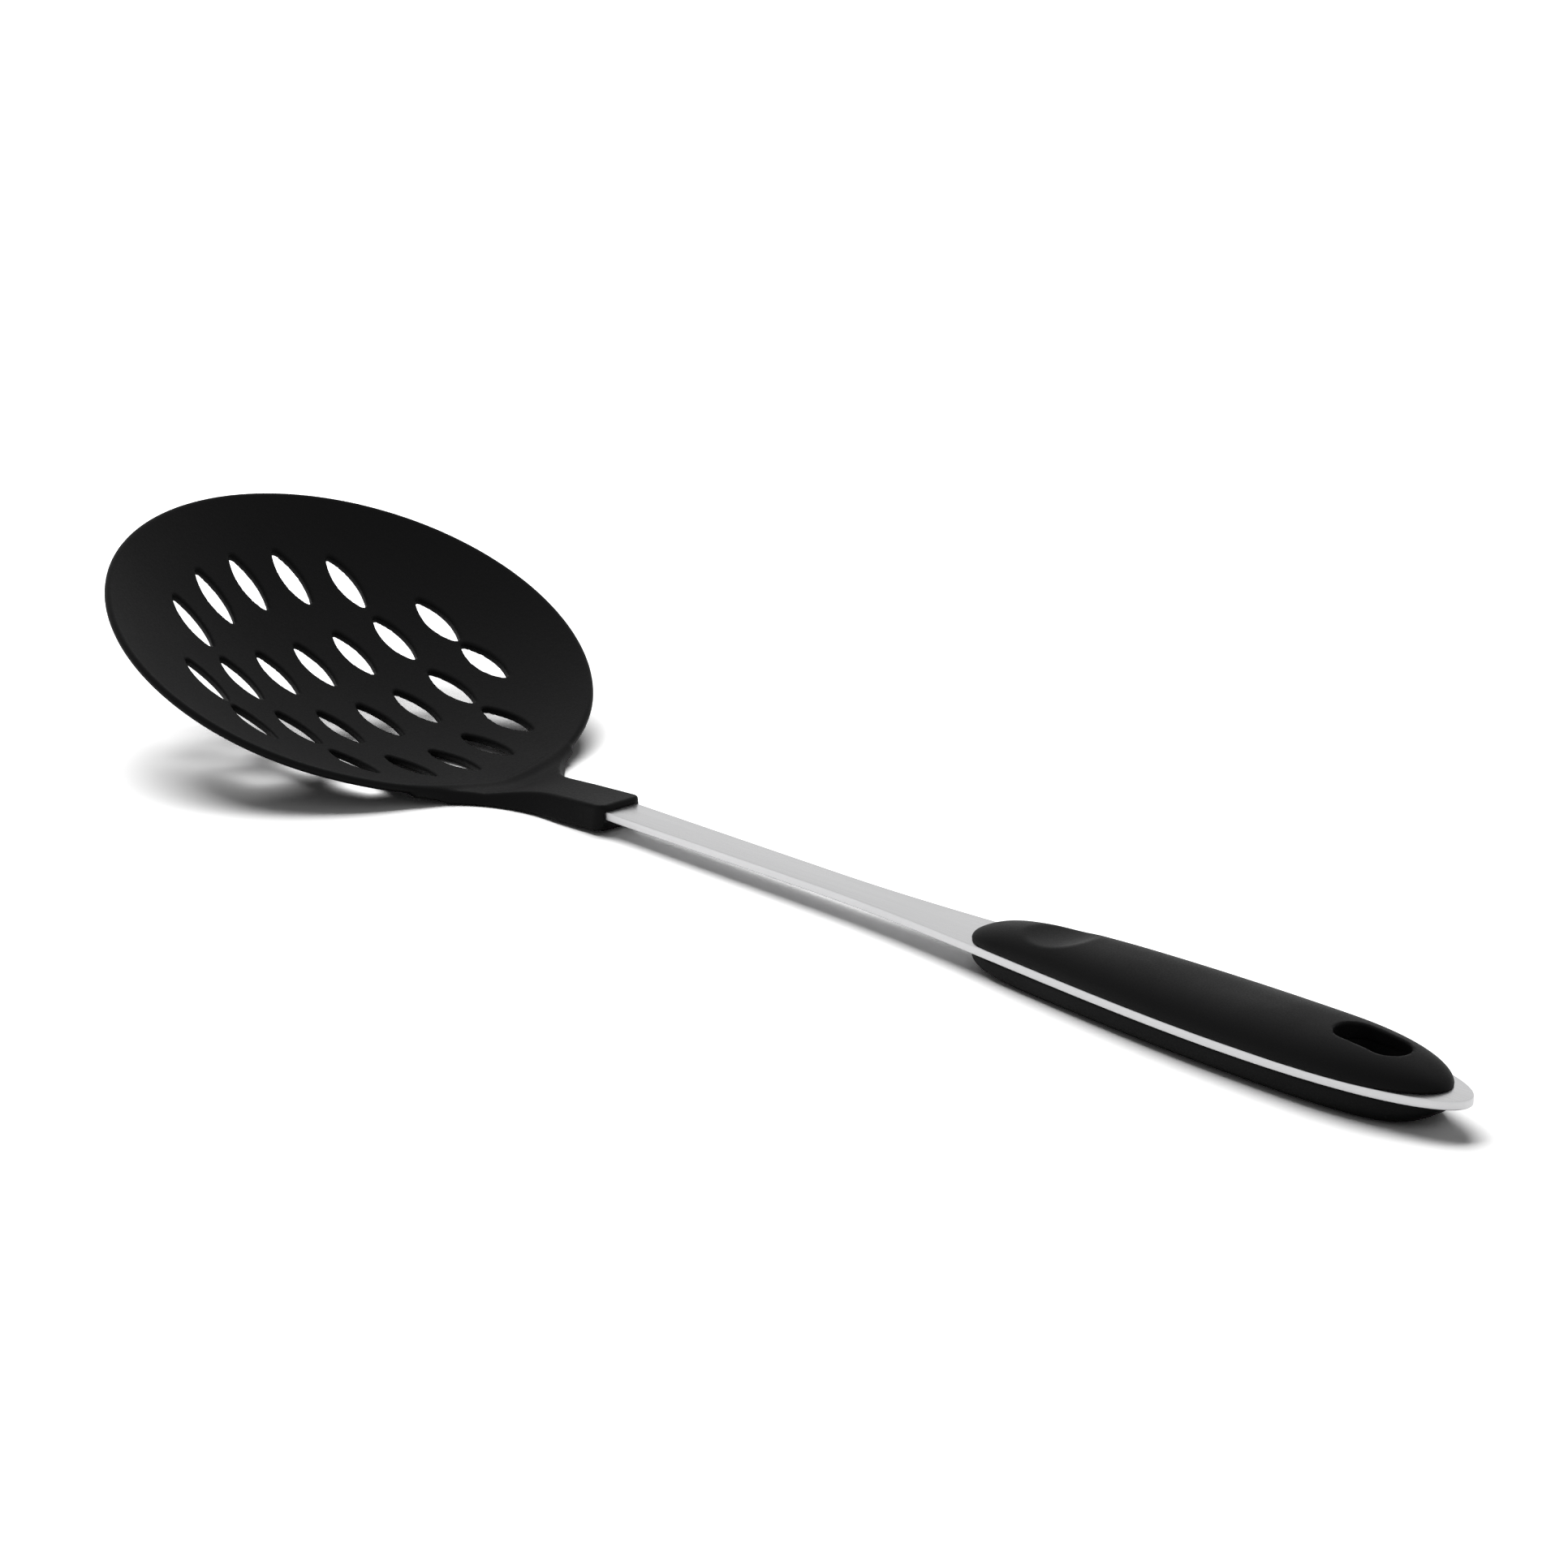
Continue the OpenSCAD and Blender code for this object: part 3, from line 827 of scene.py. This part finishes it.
def brushed_steel(name):
    """Stainless steel with flats brushed along their length and duller stamped edges."""
    m = Nodes(name)
    fine = m.noise(9000, detail=3, stretch=(0.008, 1, 1), roughness=0.6)
    broad = m.noise(1800, stretch=(0.012, 1, 1))
    cloud = m.noise(45, detail=3)
    edge = m.edges()
    lines = m.span(m.sum(fine, broad), 0, 1, start=0.7, end=1.3)
    brushed = m.blend(lines, STEEL_DARK, STEEL_LIGHT)
    m.link(m.toward(edge, brushed, STEEL_EDGE), m.shader.inputs["Base Color"])
    dull = m.span(edge, 0, 0.15, start=0, end=1)
    rough = m.sum(m.span(fine, 0.26, 0.36), m.span(cloud, -0.02, 0.02), dull)
    m.link(rough, m.shader.inputs["Roughness"])
    m.bump(m.sum(fine, m.span(broad, 0, 0.5)), distance=0.000012, strength=0.6)
    m.set(Metallic=1.0)
    return m.material


# The stage, in metres.

LAMP_SIZE = (2.0, 1.6)
LAMP_WATTS = 58.0
LAMP_AT = Vector((-1.15, 0.5, 1.5))
WHITE = (1, 1, 1, 1)
BACKGROUND = 1.0
SKY_LEVEL = 0.1
FLOOR_WHITE = 0.9
FLOOR_SHOWN = 1.5
FLOOR_NEAR = 0.45
FLOOR_FAR = 0.9
FLOOR_HALF = 6.0
FLOOR_DROP = 0.0001
NO_BOUNCE = 0.5


def shown_rays(tree):
    """1 for the camera's rays, mirror-like and clear ones, as long as no matte surface has sent them on."""
    path = tree.nodes.new("ShaderNodeLightPath")
    seen = path.outputs["Is Camera Ray"]
    for kind in ("Is Glossy Ray", "Is Transmission Ray"):
        seen = combine(tree, "MAXIMUM", seen, path.outputs[kind])
    direct = combine(tree, "LESS_THAN", path.outputs["Diffuse Depth"], NO_BOUNCE)
    return combine(tree, "MULTIPLY", seen, direct)


def make_world():
    """An even sky for the light, and plain white behind the object."""
    world = bpy.data.worlds.new("studio")
    world.use_nodes = True
    tree = world.node_tree
    sky = tree.nodes["Background"]
    plain = tree.nodes.new("ShaderNodeBackground")
    for shader, strength in ((sky, SKY_LEVEL), (plain, BACKGROUND)):
        shader.inputs["Color"].default_value = WHITE
        shader.inputs["Strength"].default_value = strength
    mix = mix_shaders(tree, shown_rays(tree), sky, plain)
    tree.links.new(mix.outputs[0], tree.nodes["World Output"].inputs["Surface"])
    bpy.context.scene.world = world


def floor_material():
    """White floor that keeps the object's shadow. It fades out far from it, and is clear from below."""
    m = Nodes("floor")
    tree = m.tree
    tree.nodes.remove(m.shader)
    matte = m.add("ShaderNodeBsdfDiffuse", Color=(FLOOR_WHITE, FLOOR_WHITE, FLOOR_WHITE, 1))
    shown = m.add("ShaderNodeBsdfDiffuse", Color=(FLOOR_SHOWN, FLOOR_SHOWN, FLOOR_SHOWN, 1))
    clear = m.add("ShaderNodeBsdfTransparent")
    place = m.add("ShaderNodeTexCoord")
    reach = m.add("ShaderNodeVectorMath")
    reach.operation = "LENGTH"
    m.link(place.outputs["Object"], reach.inputs[0])
    fade = m.span(reach.outputs["Value"], 0, 1, FLOOR_NEAR, FLOOR_FAR)
    under = m.add("ShaderNodeNewGeometry")
    gone = combine(tree, "MAXIMUM", fade, under.outputs["Backfacing"])
    white = mix_shaders(tree, shown_rays(tree), matte, shown)
    mix = mix_shaders(tree, gone, white, clear)
    m.link(mix.outputs[0], tree.nodes["Material Output"].inputs["Surface"])
    return m.material


def make_floor():
    """The table that the skimmer lies on."""
    mesh = bpy.data.meshes.new("floor")
    square = ((-1, -1), (1, -1), (1, 1), (-1, 1))
    corners = [(x * FLOOR_HALF, y * FLOOR_HALF, -FLOOR_DROP) for x, y in square]
    mesh.from_pydata(corners, [], [(0, 1, 2, 3)])
    mesh.materials.append(floor_material())
    floor = bpy.data.objects.new("floor", mesh)
    bpy.context.scene.collection.objects.link(floor)


def make_light():
    """One large soft lamp, high up beyond the tip of the dish and to its far side."""
    lamp = bpy.data.lights.new("softbox", "AREA")
    lamp.shape = "RECTANGLE"
    lamp.size, lamp.size_y = LAMP_SIZE
    lamp.energy = LAMP_WATTS
    softbox = bpy.data.objects.new("softbox", lamp)
    softbox.location = LAMP_AT
    softbox.rotation_euler = (-LAMP_AT).to_track_quat("-Z", "Y").to_euler()
    softbox.visible_camera = False
    softbox.visible_glossy = False
    bpy.context.scene.collection.objects.link(softbox)


def make_camera():
    """The photograph's camera."""
    a, e, roll = CAMERA_AZIMUTH, CAMERA_ELEVATION, CAMERA_ROLL
    back = Vector((math.sin(a) * math.cos(e), -math.cos(a) * math.cos(e), math.sin(e)))
    right = Vector((math.cos(a), math.sin(a), 0))
    up = Vector((-math.sin(a) * math.sin(e), math.cos(a) * math.sin(e), math.cos(e)))
    x_axis = right * math.cos(roll) + up * math.sin(roll)
    y_axis = up * math.cos(roll) - right * math.sin(roll)
    data = bpy.data.cameras.new("camera")
    data.sensor_width = SENSOR_W
    data.lens = FOCAL_PX / PHOTO_PX * SENSOR_W
    camera = bpy.data.objects.new("camera", data)
    turn = Matrix((x_axis, y_axis, back)).transposed()
    camera.matrix_world = Matrix.Translation(Vector(CAMERA_AT) * MM) @ turn.to_4x4()
    bpy.context.scene.collection.objects.link(camera)
    bpy.context.scene.camera = camera


make_camera()
make_world()
make_floor()
make_light()

nylon = moulded_plastic("black_nylon", NYLON_DARK, NYLON_LIGHT, roughness=(0.5, 0.6), specular=0.07)
hard_plastic = moulded_plastic("hard_plastic", CORE_DARK, CORE_LIGHT, roughness=(0.5, 0.65), specular=0.1)
rubber = soft_touch("soft_touch")
steel = brushed_steel("brushed_steel")

make_head(nylon)
make_shank(steel)
upper_height = CROWN_H + GRIP_EDGE_R
make_grip_half("upper_grip", upper_field, upper_height, STRIP_T, 1, rubber, "upper_grip_skin")
lower_height = float(table_depth(grip_end)) + GRIP_EDGE_R
make_grip_half("lower_grip", lower_field, lower_height, 0, -1, rubber, "lower_grip_skin")
for core in ("upper_grip_core", "lower_grip_core"):
    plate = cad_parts[core]
    plate.data.materials.clear()
    plate.data.materials.append(hard_plastic)

bpy.context.scene.view_settings.view_transform = "Standard"
